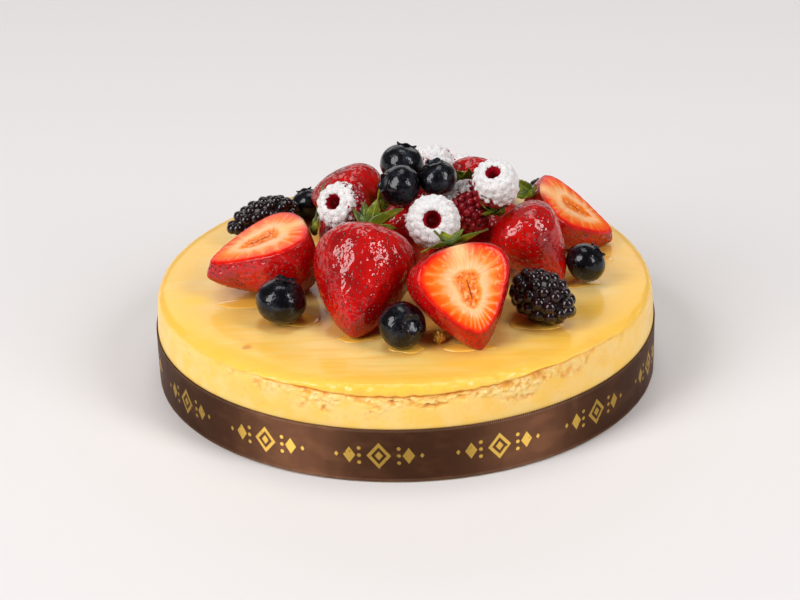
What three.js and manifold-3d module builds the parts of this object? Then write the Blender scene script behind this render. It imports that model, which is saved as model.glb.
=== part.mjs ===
// A baked cheesecake, 23 cm across, with a satin ribbon round its side and a heap of fresh fruit
// on top. Millimetres, +Z up, origin at the middle of the cake's flat underside.
// The viewer stands on the -Y side. Every piece of fruit is lowered onto what lies under it.
import * as THREE from "three";
import { mergeVertices } from "three/addons/utils/BufferGeometryUtils.js";
import Module from "manifold-3d";

const wasm = await Module();
wasm.setup();

// Driving sizes of the cake and its ribbon
const RIBBON_RADIUS = 115;
const RIBBON_WIDTH = 25;
const RIBBON_THICKNESS = 0.5;
const RIBBON_LIFT = 0.6;
const RIBBON_OVERLAP_ANGLE = 62;
const RIBBON_OVERLAP_HALF = 6;
const CONTACT_GAP = 0.3;
const CAKE_RADIUS = RIBBON_RADIUS - RIBBON_THICKNESS - CONTACT_GAP;
const CAKE_HEIGHT = 45;
const CRACK_DEPTH = 4;
const CRUMB_BAND = 12;
const CRUMB_RELIEF = 0.75;
const CAKE_SEGMENTS = 96;
const RIBBON_SEGMENTS = 72;

const COLOURS = {
  cake: { color: 0xf0cf85, roughness: 0.45, metalness: 0 },
  ribbon: { color: 0x3a211b, roughness: 0.35, metalness: 0 },
  strawberry: { color: 0xb80f12, roughness: 0.15, metalness: 0 },
  cut_strawberry: { color: 0xd8301a, roughness: 0.2, metalness: 0 },
  blueberry: { color: 0x1b1f2e, roughness: 0.25, metalness: 0 },
  raspberry: { color: 0xa81428, roughness: 0.4, metalness: 0 },
  bramble: { color: 0x170a10, roughness: 0.15, metalness: 0 },
  leaf: { color: 0x5d7a23, roughness: 0.45, metalness: 0 },
};

const radians = THREE.MathUtils.degToRad;

// A repeatable wobble between -1 and 1 along a ring, the sum of three waves.
function wobble(angle, seed) {
  return (
    0.5 * Math.sin(7 * angle + seed) +
    0.3 * Math.sin(17 * angle + 2.3 * seed) +
    0.2 * Math.sin(41 * angle + 4.1 * seed)
  );
}

// Solids and geometries

function solidFrom(geometry) {
  const bare = geometry.clone();
  bare.deleteAttribute("normal");
  bare.deleteAttribute("uv");
  const merged = mergeVertices(bare, 1e-3);
  return new wasm.Manifold(
    new wasm.Mesh({
      numProp: 3,
      vertProperties: merged.attributes.position.array,
      triVerts: new Uint32Array(merged.index.array),
    }),
  );
}

function geometryFrom(solid) {
  const mesh = solid.getMesh();
  const positions = new Float32Array(mesh.numVert * 3);
  for (let i = 0; i < mesh.numVert; i++)
    positions.set(mesh.vertProperties.subarray(i * mesh.numProp, i * mesh.numProp + 3), i * 3);
  const geometry = new THREE.BufferGeometry()
    .setAttribute("position", new THREE.BufferAttribute(positions, 3))
    .setIndex(new THREE.BufferAttribute(mesh.triVerts, 1));
  geometry.computeVertexNormals();
  return geometry;
}

// A turned form: profile points are [radius, height], from the foot of the axis to its top.
function turned(profile, segments) {
  const points = profile.map(([radius, height]) => new THREE.Vector2(radius, height));
  return new THREE.LatheGeometry(points, segments).rotateX(Math.PI / 2);
}

// Moves every vertex by a rule on its radius, angle and height.
function reshaped(geometry, rule) {
  const place = geometry.attributes.position;
  for (let i = 0; i < place.count; i++) {
    const x = place.getX(i);
    const y = place.getY(i);
    const moved = rule(Math.hypot(x, y), Math.atan2(y, x), place.getZ(i));
    place.setXYZ(i, moved.radius * Math.cos(moved.angle), moved.radius * Math.sin(moved.angle), moved.height);
  }
  return geometry;
}

// The cheesecake: a smooth baked skin on top, which ends in a lip, a torn crack under the lip,
// and a crumbly band below it. The rest of the side is straight from the tin.

// One hill along the ring, 1 high at its middle. Angles in degrees.
function hill(angle, middle, width) {
  const away = THREE.MathUtils.euclideanModulo(THREE.MathUtils.radToDeg(angle) - middle + 180, 360) - 180;
  return Math.exp(-((away / width) ** 2));
}

// How far the crack wanders up or down: it dips at the front and climbs to the right of that.
function crackRise(angle) {
  const wander = 2.4 * hill(angle, -48, 17) - 1.6 * hill(angle, -92, 18) + 0.9 * hill(angle, -140, 20);
  return wander + 0.9 * hill(angle, 40, 25) - 1.2 * hill(angle, 110, 30) + 0.6 * wobble(angle, 1.7);
}

function cakeGeometry() {
  const r = CAKE_RADIUS;
  const h = CAKE_HEIGHT;
  const profile = [
    [0, 0], [r - 1.6, 0], [r - 0.3, 1.3], [r, RIBBON_LIFT + RIBBON_WIDTH + 1],
    [r - 0.3, h - 13], [r - 0.7, h - 9], [r - 1.1, h - 6.5],
    [r - 2.2, h - CRACK_DEPTH], [r - 1.5, h - CRACK_DEPTH + 1.3],
    [r - 2.8, h - 1], [r - 6, h - 0.1], [r - 18, h], [0, h],
  ];
  const torn = h - CRUMB_BAND;
  return reshaped(turned(profile, CAKE_SEGMENTS), (radius, angle, height) => {
    if (height < torn || radius < r - 7) return { radius, angle, height };
    const share = Math.min(1, (height - torn) / (CRUMB_BAND - CRACK_DEPTH));
    const lipFade = THREE.MathUtils.clamp((h - height) / CRACK_DEPTH, 0, 1);
    const reach = share * lipFade;
    const crumb = wobble(angle, 3 + height) * CRUMB_RELIEF;
    return { radius: radius + crumb * reach, angle, height: height + crackRise(angle) * reach };
  });
}

// The ribbon: one turn of satin, with its tail lapped over its start at the back.

function ribbonGeometry() {
  const inner = RIBBON_RADIUS - RIBBON_THICKNESS;
  const low = RIBBON_LIFT;
  const high = RIBBON_LIFT + RIBBON_WIDTH;
  const profile = [
    [RIBBON_RADIUS, low], [RIBBON_RADIUS, high], [inner, high], [inner, low], [RIBBON_RADIUS, low],
  ];
  const lap = radians(RIBBON_OVERLAP_ANGLE);
  return reshaped(turned(profile, RIBBON_SEGMENTS), (radius, angle, height) => {
    const lapped = radius > inner + 0.1 && Math.abs(angle - lap) < radians(RIBBON_OVERLAP_HALF);
    return { radius: lapped ? radius + RIBBON_THICKNESS : radius, angle, height };
  });
}

// Fruit. Each kind is made along its own +Z axis, with its tip at the foot and its stem end on top,
// and its middle at the origin.

const STRAWBERRY_SEGMENTS = 14;
const STRAWBERRY_ROWS = 8;
const STRAWBERRY_TAPER = 0.62;
const STRAWBERRY_SHOULDER = 5;

// Radius of a strawberry at a share of its length from the tip. A low taper gives a blunt tip.
function strawberryRadius(along, radius, taper) {
  const widest = Math.pow(taper / (taper + STRAWBERRY_SHOULDER / 2), 1 / STRAWBERRY_SHOULDER);
  const form = (share) => Math.pow(share, taper) * Math.sqrt(1 - Math.pow(share, STRAWBERRY_SHOULDER));
  return (radius * form(along)) / form(widest);
}

function strawberryGeometry({ length, radius, taper = STRAWBERRY_TAPER }) {
  const profile = [];
  for (let row = 0; row <= STRAWBERRY_ROWS; row++) {
    const along = 0.5 - 0.5 * Math.cos((Math.PI * row) / STRAWBERRY_ROWS);
    profile.push([strawberryRadius(along, radius, taper), (along - 0.5) * length]);
  }
  return reshaped(turned(profile, STRAWBERRY_SEGMENTS), (r, angle, height) => ({
    radius: r * (1 + 0.035 * Math.sin(3 * angle) + 0.025 * Math.sin(2 * angle)),
    angle,
    height,
  }));
}

// A strawberry cut down its length: the part on its own +Y side, with the cut face towards -Y.
// The knife passes the axis by the given distance, so some halves are the thicker ones.
function halfStrawberrySolid({ cut = 0, ...size }) {
  const whole = solidFrom(strawberryGeometry(size));
  const reach = 2 * size.length;
  const other = new THREE.BoxGeometry(reach, reach, reach).translate(0, -reach / 2 - cut, 0);
  return whole.subtract(solidFrom(other));
}

const BLUEBERRY_SEGMENTS = 12;
const BLUEBERRY_FLATNESS = 0.9;

// A blueberry is a flattened ball with a raised ring of dried petals, its crown, on top.
function blueberrySolid({ radius }) {
  const h = radius * BLUEBERRY_FLATNESS;
  const crown = radius * 0.36;
  const profile = [[0, -h]];
  for (const degrees of [-62, -34, -6, 22, 46])
    profile.push([radius * Math.cos(radians(degrees)), h * Math.sin(radians(degrees))]);
  profile.push([crown * 1.25, h * 0.95], [crown * 1.1, h * 1.12], [crown * 0.75, h * 0.86], [0, h * 0.82]);
  return solidFrom(turned(profile, BLUEBERRY_SEGMENTS));
}

// Drupelets are bumps in a staggered ring pattern, one bump to every two segments.
function berryBumps(bump, rowOf) {
  return (radius, angle, height) => {
    const row = rowOf(radius, height);
    const column = Math.floor((angle * BERRY_SEGMENTS) / (2 * Math.PI) + 0.25);
    const side = row === null || radius < 0.5 ? 0 : (row + column) % 2 ? -1 : 1;
    return { radius: radius + bump * side, angle, height };
  };
}

const BERRY_SEGMENTS = 18;
const RASPBERRY_BUMP = 0.7;
const BRAMBLE_BUMP = 0.8;
const BRAMBLE_ROWS = 8;

// A raspberry is a thimble of drupelets round the hollow that its stem left.
function raspberrySolid({ radius, length }) {
  const rim = radius * 0.62;
  const hollow = radius * 0.36;
  const top = length / 2;
  const heights = [-0.5, -0.44, -0.28, -0.1, 0.09, 0.27, 0.42].map((share) => share * length);
  const shares = [0, 0.42, 0.76, 0.95, 1, 0.97, 0.84];
  const profile = heights.map((height, row) => [radius * shares[row], height]);
  profile.push([rim, top], [hollow, top - 1], [hollow * 0.7, top - length * 0.38], [0, top - length * 0.42]);
  const rowOf = (r, height) => {
    const row = heights.findIndex((level) => Math.abs(level - height) < 0.01);
    return row > 0 && r > rim * 0.6 ? row : null;
  };
  return solidFrom(reshaped(turned(profile, BERRY_SEGMENTS), berryBumps(RASPBERRY_BUMP, rowOf)));
}

// A bramble is longer, solid and near black.
function brambleSolid({ radius, length }) {
  const profile = [];
  for (let row = 0; row <= BRAMBLE_ROWS; row++) {
    const turn = (Math.PI * row) / BRAMBLE_ROWS;
    const full = Math.pow(Math.sin(turn), 0.75);
    profile.push([radius * full * (1 - 0.12 * Math.cos(turn)), (-length / 2) * Math.cos(turn)]);
  }
  const levels = profile.map(([, height]) => height);
  const rowOf = (r, height) => levels.findIndex((level) => Math.abs(level - height) < 0.01);
  return solidFrom(reshaped(turned(profile, BERRY_SEGMENTS), berryBumps(BRAMBLE_BUMP, rowOf)));
}

// A leaf: a thin wavy strip, pointed at its tip, that leaves the stem end outwards and curls.
// Both of its faces are split into triangles alike.
const LEAF_THICKNESS = 0.6;
const LEAF_STEPS = 4;

function leafGeometry({ direction, length, width, lift, curl }) {
  const turn = radians(direction);
  const outward = new THREE.Vector3(Math.cos(turn), Math.sin(turn), 0);
  const sideways = new THREE.Vector3(-Math.sin(turn), Math.cos(turn), 0);
  const up = new THREE.Vector3(0, 0, 1);
  const place = new THREE.Vector3();
  const positions = [];
  for (let step = 0; step <= LEAF_STEPS; step++) {
    const along = step / LEAF_STEPS;
    const rise = radians(lift + curl * along);
    const half = Math.max(0.25, (width / 2) * Math.sin(Math.PI * Math.pow(0.12 + 0.88 * along, 0.8)));
    const normal = up.clone().multiplyScalar(Math.cos(rise)).addScaledVector(outward, -Math.sin(rise));
    for (const side of [-1, 0, 1]) {
      const fold = side === 0 ? -0.35 * half : 0.15 * half * Math.sin(9 * along + direction);
      for (const face of [0.5, -0.5]) {
        const point = place.clone().addScaledVector(sideways, side * half);
        point.addScaledVector(normal, fold + face * LEAF_THICKNESS);
        positions.push(point.x, point.y, point.z);
      }
    }
    const pace = length / LEAF_STEPS;
    place.addScaledVector(outward, pace * Math.cos(rise)).addScaledVector(up, pace * Math.sin(rise));
  }
  const at = (step, side, face) => (step * 3 + side) * 2 + face;
  const faces = [];
  const quad = (a, b, c, d) => faces.push(a, b, c, a, c, d);
  for (let step = 0; step < LEAF_STEPS; step++) {
    for (let side = 0; side < 2; side++) {
      quad(at(step, side, 0), at(step + 1, side, 0), at(step + 1, side + 1, 0), at(step, side + 1, 0));
      quad(at(step, side, 1), at(step, side + 1, 1), at(step + 1, side + 1, 1), at(step + 1, side, 1));
    }
    quad(at(step, 0, 0), at(step, 0, 1), at(step + 1, 0, 1), at(step + 1, 0, 0));
    quad(at(step, 2, 0), at(step + 1, 2, 0), at(step + 1, 2, 1), at(step, 2, 1));
  }
  for (let side = 0; side < 2; side++) {
    quad(at(0, side, 0), at(0, side + 1, 0), at(0, side + 1, 1), at(0, side, 1));
    const last = LEAF_STEPS;
    quad(at(last, side, 0), at(last, side, 1), at(last, side + 1, 1), at(last, side + 1, 0));
  }
  return new THREE.BufferGeometry()
    .setAttribute("position", new THREE.BufferAttribute(new Float32Array(positions), 3))
    .setIndex(faces);
}

// The green cap on a strawberry's stem end: its leaves round a small boss.
const CAP_BOSS_RADIUS = 2.4;
const CAP_BOSS_FLATNESS = 0.6;

function capSolid({ leaves, aside = 0 }, stemEnd) {
  const boss = new THREE.SphereGeometry(CAP_BOSS_RADIUS, 8, 5).rotateX(Math.PI / 2);
  let cap = solidFrom(boss.scale(1, 1, CAP_BOSS_FLATNESS));
  for (const [direction, length, width, lift, curl] of leaves)
    cap = cap.add(solidFrom(leafGeometry({ direction, length, width, lift, curl })));
  return cap.translate([aside, 0, stemEnd + CAP_BOSS_RADIUS * CAP_BOSS_FLATNESS + CONTACT_GAP]);
}

const MAKERS = {
  strawberry: (size) => solidFrom(strawberryGeometry(size)),
  half: halfStrawberrySolid,
  blueberry: blueberrySolid,
  raspberry: raspberrySolid,
  bramble: brambleSolid,
};

// Placing. heading is where the stem end points, seen from above; rise lifts it; turn rolls the
// piece about its own axis.

function stance({ heading, rise, turn = 0 }) {
  const aim = new THREE.Matrix4().makeRotationZ(radians(heading));
  aim.multiply(new THREE.Matrix4().makeRotationY(radians(90 - rise)));
  return aim.multiply(new THREE.Matrix4().makeRotationZ(radians(turn)));
}

const DROP_FROM = 150;
const DROP_STEP = 3;
const DROP_FINE = 0.02;
const DROP_GAP = 0.05;
const TOUCH_VOLUME = 1e-4;

function touches(solid, others) {
  return others.some((other) => solid.intersect(other).volume() > TOUCH_VOLUME);
}

function boxesMeet(a, b) {
  return [0, 1, 2].every((axis) => a.min[axis] <= b.max[axis] && b.min[axis] <= a.max[axis]);
}

// Lowers a solid from the given height until it touches, then lifts it back by a hair.
function lowered(solid, laid, from = DROP_FROM) {
  let shaft = solid.boundingBox();
  shaft = { min: [shaft.min[0], shaft.min[1], -DROP_FROM], max: [shaft.max[0], shaft.max[1], 2 * DROP_FROM] };
  const under = laid.filter((other) => boxesMeet(shaft, other.boundingBox()));
  let clear = from;
  while (clear > 0 && !touches(solid.translate([0, 0, clear - DROP_STEP]), under)) clear -= DROP_STEP;
  let blocked = clear - DROP_STEP;
  while (clear - blocked > DROP_FINE) {
    const middle = (clear + blocked) / 2;
    if (touches(solid.translate([0, 0, middle]), under)) blocked = middle;
    else clear = middle;
  }
  return clear + DROP_GAP;
}

// Every fruit, from the lowest layer to the highest. x and y are the middle of its axis.
const FRUIT = [
  { name: "strawberry_core_left", kind: "strawberry", length: 36, radius: 16,
    x: -20, y: 6, heading: 200, rise: 10 },
  { name: "strawberry_core_front", kind: "strawberry", length: 38, radius: 14,
    x: 3, y: -9, heading: 80, rise: 70 },
  { name: "strawberry_core_right", kind: "strawberry", length: 38, radius: 15,
    x: 41, y: 6, heading: 95, rise: 14 },
  { name: "strawberry_core_back", kind: "strawberry", length: 38, radius: 13,
    x: 15, y: 16, heading: 100, rise: 75 },
  { name: "strawberry_front", kind: "strawberry", length: 51, radius: 22.3, taper: 0.6,
    x: -18.5, y: -51, heading: 80, rise: 38, turn: 20 },
  { name: "half_strawberry_front", kind: "half", length: 45.5, radius: 22.5, taper: 0.7, cut: 8,
    x: 26, y: -71.5, heading: 118, rise: 58, turn: -102 },
  { name: "half_strawberry_left", kind: "half", length: 50, radius: 23, taper: 0.7, cut: 5,
    x: -65, y: -16.5, heading: 15, rise: 17, turn: -92 },
  { name: "strawberry_right", kind: "strawberry", length: 39, radius: 16.3, taper: 0.6,
    x: 59, y: -17.5, heading: 158, rise: 50 },
  { name: "half_strawberry_right", kind: "half", length: 46, radius: 19, taper: 0.7, cut: 4,
    x: 78.8, y: 20, heading: 190, rise: 36, turn: -105 },
  { name: "strawberry_back_left", kind: "strawberry", length: 37, radius: 17.5,
    x: -27, y: 47.5, heading: -32, rise: 5 },
  { name: "strawberry_back_right", kind: "strawberry", length: 37, radius: 16.5,
    x: 33.5, y: 56.5, heading: -95, rise: 34 },
  { name: "half_strawberry_back", kind: "half", length: 44, radius: 18,
    x: 4, y: 76, heading: 262, rise: 24, turn: -90 },
  { name: "bramble_left", kind: "bramble", length: 36, radius: 9.4,
    x: -66.5, y: 42, heading: 36, rise: 2 },
  { name: "bramble_right", kind: "bramble", length: 32, radius: 11,
    x: 60, y: -56.5, heading: 130, rise: 5 },
  { name: "bramble_back", kind: "bramble", length: 31, radius: 9,
    x: 72, y: 53.5, heading: 120, rise: 3 },
  { name: "raspberry_low", kind: "raspberry", length: 20, radius: 9.6,
    x: 29, y: 85, heading: 80, rise: 20 },
  { name: "blueberry_left", kind: "blueberry", radius: 11.3,
    x: -54, y: -50.5, heading: 40, rise: 70 },
  { name: "blueberry_front", kind: "blueberry", radius: 10.3,
    x: -1.5, y: -76.5, heading: -60, rise: 25, from: 56 },
  { name: "blueberry_right", kind: "blueberry", radius: 9.3,
    x: 81.3, y: -20, heading: 20, rise: 40, from: 56 },
  { name: "blueberry_back_left", kind: "blueberry", radius: 8.4,
    x: -45.5, y: 62, heading: 120, rise: 60, from: 54.5 },
  { name: "blueberry_back", kind: "blueberry", radius: 9.2,
    x: 48, y: 80, heading: 80, rise: 45 },
  { name: "blueberry_back_middle", kind: "blueberry", radius: 8.8,
    x: -20, y: 84, heading: 130, rise: 55 },
  { name: "raspberry_middle", kind: "raspberry", length: 22, radius: 10.4,
    x: 29.5, y: -2.5, heading: 130, rise: 40 },
  { name: "raspberry_left", kind: "raspberry", length: 21, radius: 10.7,
    x: -25.5, y: -11, heading: 235, rise: 35 },
  { name: "raspberry_centre", kind: "raspberry", length: 20, radius: 11.9,
    x: 13.5, y: -25.5, heading: 265, rise: 30 },
  { name: "raspberry_right", kind: "raspberry", length: 20, radius: 10.4,
    x: 42, y: -11, heading: 250, rise: 60 },
  { name: "blueberry_crown", kind: "blueberry", radius: 9.6,
    x: -0.5, y: -9.5, heading: 200, rise: 20 },
  { name: "blueberry_middle", kind: "blueberry", radius: 8.8,
    x: 16, y: -5, heading: 180, rise: 80 },
  { name: "raspberry_back", kind: "raspberry", length: 18, radius: 10,
    x: 15, y: 37.5, heading: 100, rise: 50 },
  { name: "blueberry_top", kind: "blueberry", radius: 10.1,
    x: 0.5, y: 9, heading: 60, rise: 60 },
];

// The caps. Each leaf is [direction about the stem, length, width, lift at its root, curl to its
// tip]. A cap's boss may sit a little aside of the stem end.
const CAPS = [
  { name: "leaves_front", fruit: "strawberry_front", leaves: [
    [95, 12, 6, 40, 10], [140, 12, 6, 50, 10], [185, 14, 7, 50, -10], [235, 18, 8, 38, -20],
    [275, 14, 7, 20, -10], [330, 10, 6, 20, 0],
  ] },
  { name: "leaves_half_front", fruit: "half_strawberry_front", leaves: [
    [184, 14, 5, 12, -30], [146, 9, 5, 45, 20], [91, 10, 6, 30, 20], [36, 12, 7, 30, -10],
    [1, 18, 7, 8, -5],
  ] },
  { name: "leaves_half_left", fruit: "half_strawberry_left", leaves: [
    [250, 22, 4, 36, 0], [211, 7, 4, 20, 20], [296, 7, 4, 25, 20], [166, 9, 5, 20, 0],
  ] },
  { name: "leaves_right", fruit: "strawberry_right", aside: 3, leaves: [
    [316, 9, 5, 42, 30], [21, 11, 6, 36, 66], [60, 10, 6, 34, -5], [120, 9, 5, 20, -15], [270, 10, 6, 20, 0],
  ] },
  { name: "leaves_half_right", fruit: "half_strawberry_right", leaves: [
    [17, 12, 6, 30, 10], [67, 9, 5, 30, 0], [222, 6, 3.5, 10, 10], [262, 6, 3.5, 10, 20],
  ] },
  { name: "leaves_back_left", fruit: "strawberry_back_left", leaves: [
    [205, 12, 6, 20, 0], [165, 13, 6, 15, 0], [120, 12, 6, 20, 0], [60, 11, 6, 20, 0], [260, 10, 5, 20, 0],
  ] },
  { name: "leaves_back_right", fruit: "strawberry_back_right", leaves: [
    [180, 15, 8, 70, 0], [230, 12, 7, 40, 15], [280, 11, 6, 30, 0], [130, 12, 7, 40, -10], [40, 11, 6, 20, 0],
  ] },
  { name: "leaves_half_back", fruit: "half_strawberry_back", leaves: [
    [250, 9, 5, 30, 0], [290, 9, 5, 30, 0], [200, 9, 5, 20, 0],
  ] },
];

const cake = solidFrom(cakeGeometry());
const laid = [cake];
const placed = new Map();
for (const piece of FRUIT) {
  const matrix = stance(piece);
  const turnedSolid = MAKERS[piece.kind](piece).transform(matrix.elements);
  const solid = turnedSolid.translate([piece.x, piece.y, 0]);
  const z = lowered(solid, laid, piece.from);
  laid.push(solid.translate([0, 0, z]));
  placed.set(piece.name, { piece, z, solid: laid.at(-1), matrix });
}

const caps = CAPS.map(({ name, fruit, ...cap }) => {
  const { piece, z, matrix } = placed.get(fruit);
  const solid = capSolid(cap, piece.length / 2).transform(matrix.elements);
  return { name, solid: solid.translate([piece.x, piece.y, z]) };
});

// The scene graph

const group = new THREE.Group();

function addMesh(name, look, geometry) {
  const mesh = new THREE.Mesh(geometry, new THREE.MeshStandardMaterial(COLOURS[look]));
  mesh.name = name;
  group.add(mesh);
  return mesh;
}

addMesh("cheesecake", "cake", geometryFrom(cake));
addMesh("ribbon", "ribbon", ribbonGeometry());
for (const { piece, solid } of placed.values()) {
  const look = piece.kind === "half" ? "cut_strawberry" : piece.kind;
  addMesh(piece.name, look, geometryFrom(solid));
}

for (const { name, solid } of caps) addMesh(name, "leaf", geometryFrom(solid));

export default group;
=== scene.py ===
import math
import random

import bmesh
import bpy
from mathutils import Matrix, Vector, kdtree, noise


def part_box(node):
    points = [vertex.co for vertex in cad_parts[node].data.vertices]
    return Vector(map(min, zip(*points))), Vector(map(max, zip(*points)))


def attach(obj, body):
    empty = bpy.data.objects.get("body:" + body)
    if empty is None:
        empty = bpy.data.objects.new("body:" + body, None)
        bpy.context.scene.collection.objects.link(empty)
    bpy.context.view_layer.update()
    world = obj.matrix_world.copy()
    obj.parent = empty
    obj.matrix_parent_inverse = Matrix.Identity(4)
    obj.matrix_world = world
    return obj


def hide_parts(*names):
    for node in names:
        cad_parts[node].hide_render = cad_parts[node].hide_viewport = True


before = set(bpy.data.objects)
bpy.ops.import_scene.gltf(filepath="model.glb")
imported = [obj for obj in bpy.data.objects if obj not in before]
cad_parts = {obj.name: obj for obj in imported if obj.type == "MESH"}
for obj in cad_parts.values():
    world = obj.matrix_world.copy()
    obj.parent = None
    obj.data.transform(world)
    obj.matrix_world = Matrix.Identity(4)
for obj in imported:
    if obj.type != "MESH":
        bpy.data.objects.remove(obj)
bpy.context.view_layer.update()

# The cheesecake. Baked cream cheese: a smooth skin brushed with clear glaze, which ends in a torn
# lip. Under the lip runs a crack over a band of curds, and below that the side is smooth from the
# tin. It is one profile spun round the axis, and then every point is moved by the crumb.
MM = 0.001
SIDE_START = 26
CRACK_DROP = 4
CRACK_DEPTH = 1.3
CRACK_HALF_WIDTH = 0.5
CRUMB_DROP = 12
CURD_SIZE = 2.6
CURD_RELIEF = 0.8
CURD_GRAIN = 0.6
CREVICE_DEPTH = 0.3
HOLLOW_DEPTH = 3.6
PORE_SPACING = 3.4
PORE_DEPTH = 0.4
LIP_RELIEF = 0.8
SIDE_SWAY = 0.3
SKIN_SWAY = 0.16
SHOULDER_FALL = 9
SHOULDER_REACH = 18
SHOULDER_SQUARENESS = 0.7
LIP_INSET = 2.75
SKIN_INSET = 3.8
CAKE_STEPS = 900
MERGE_DISTANCE = 2e-3


def box_of(node):
    """The lowest and the highest corner of a solid, in millimetres."""
    return [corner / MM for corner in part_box(node)]


cake_radius = box_of("cheesecake")[1].x
cake_top = box_of("cheesecake")[1].z
crack_height = cake_top - CRACK_DROP


def smooth(low, high, value):
    """0 below low, 1 above high, and an even slope between them."""
    share = min(1, max(0, (value - low) / (high - low)))
    return share * share * (3 - 2 * share)


def hill(angle, middle, width):
    """One hill along the ring, 1 high at its middle, with its angles in degrees."""
    away = (math.degrees(angle) - middle + 180) % 360 - 180
    return math.exp(-((away / width) ** 2))


def polar(radius, angle, height):
    return Vector((radius * math.cos(angle), radius * math.sin(angle), height))


def ring_noise(angle, turns, shift):
    """Noise that runs round the ring, finer as its turns go up."""
    return noise.noise(polar(turns, angle, shift))


def torn_share(angle):
    """How open the crack is: fully at the front and at the back, and closed at the sides."""
    wander = 0.35 * ring_noise(angle, 4, 1)
    open_hills = max(hill(angle, -84, 42), 0.9 * hill(angle, 75, 50))
    return min(1, max(0, 1.25 * open_hills + wander * smooth(0.1, 0.5, open_hills) - 0.05))


def crack_rise(angle):
    """How far the crack wanders: it dips at the front and climbs to the right of that."""
    wander = 2.4 * hill(angle, -48, 17) - 1.6 * hill(angle, -92, 18) + 0.9 * hill(angle, -140, 20)
    wander += 0.9 * hill(angle, 40, 25) - 1.2 * hill(angle, 110, 30)
    return wander + 0.9 * ring_noise(angle, 9, 3) + 0.5 * ring_noise(angle, 34, 8)


def part_way(start, end, share):
    return tuple(a + (b - a) * share for a, b in zip(start, end))


def along_profile(corners, spacing):
    """Points along a line of corners, about as far apart as the spacing of each stretch says."""
    points = [corners[0]]
    for (start, end, gap) in zip(corners, corners[1:], spacing):
        steps = max(1, round(math.dist(start, end) / gap))
        points += [part_way(start, end, step / steps) for step in range(1, steps + 1)]
    return points


def spun(profile, steps, slices=1):
    """A closed body turned round +Z from [radius, height] points. A fine one is spun as one slice
    of the round, and that slice is then repeated."""
    bm = bmesh.new()
    chain = [bm.verts.new((radius, 0, height)) for radius, height in profile]
    edges = [bm.edges.new(pair) for pair in zip(chain, chain[1:])]
    about = dict(axis=(0, 0, 1), cent=(0, 0, 0))
    slice_angle = 2 * math.pi / slices
    bmesh.ops.spin(
        bm, geom=chain + edges, angle=slice_angle, steps=steps // slices,
        use_merge=slices == 1, **about,
    )
    if slices > 1:
        bmesh.ops.spin(
            bm, geom=bm.verts[:] + bm.edges[:] + bm.faces[:], angle=2 * math.pi - slice_angle,
            steps=slices - 1, use_duplicate=True, **about,
        )
    bmesh.ops.remove_doubles(bm, verts=bm.verts, dist=MERGE_DISTANCE)
    bmesh.ops.recalc_face_normals(bm, faces=bm.faces)
    return bm


def piece_from(bm, name, materials, node=None):
    """Turns a mesh in millimetres into a finished piece that stands for its solid."""
    bmesh.ops.scale(bm, vec=(MM, MM, MM), verts=bm.verts)
    for face in bm.faces:
        face.smooth = True
    mesh = bpy.data.meshes.new(name)
    bm.to_mesh(mesh)
    bm.free()
    for material in materials:
        mesh.materials.append(material)
    piece = bpy.data.objects.new(name, mesh)
    bpy.context.scene.collection.objects.link(piece)
    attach(piece, "root")
    if node:
        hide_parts(node)
    return piece


def fruit_feet():
    """Where fruit stands on the cake: middle and reach of each solid that touches its skin."""
    feet = []
    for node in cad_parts:
        low, high = box_of(node)
        if node not in ("cheesecake", "ribbon") and low.z < cake_top + 1:
            feet.append(((low + high) / 2, min(high.x - low.x, high.y - low.y) / 2))
    return feet


r, h = cake_radius, cake_top
cake_corners = [  # radius and height: over the underside, up the side, round the lip and inwards
    (0, 0), (r - 1.6, 0), (r - 0.3, 1.3), (r, SIDE_START), (r - 0.3, h - 13), (r - 0.7, h - 9),
    (r - 1.1, h - 6.5), (r - 1.9, h - 4.6), (r - 2.4, crack_height), (r - 1.5, h - 3.5),
    (r - 1.3, h - 2.8), (r - 1.7, h - 1.9), (r - 2.7, h - 1.1), (r - 4.2, h - 0.5), (r - 7, h - 0.15),
    (r - 18, h), (r - 30, h), (0, h),
]
cake_spacing = [12, 0.7, 6, 0.8, 0.5, 0.38, 0.38, 0.3, 0.3, 0.3, 0.3, 0.4, 0.5, 0.8, 1.2, 2.5, 5]
cake = spun(along_profile(cake_corners, cake_spacing), CAKE_STEPS, slices=30)
skin_layer = cake.verts.layers.float.new("skin")
torn_layer = cake.verts.layers.float.new("torn")
pit_shade_layer = cake.verts.layers.float.new("pit_shade")
syrup_and_shade_layer = cake.verts.layers.float.new("syrup_and_shade")
feet = fruit_feet()
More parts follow.
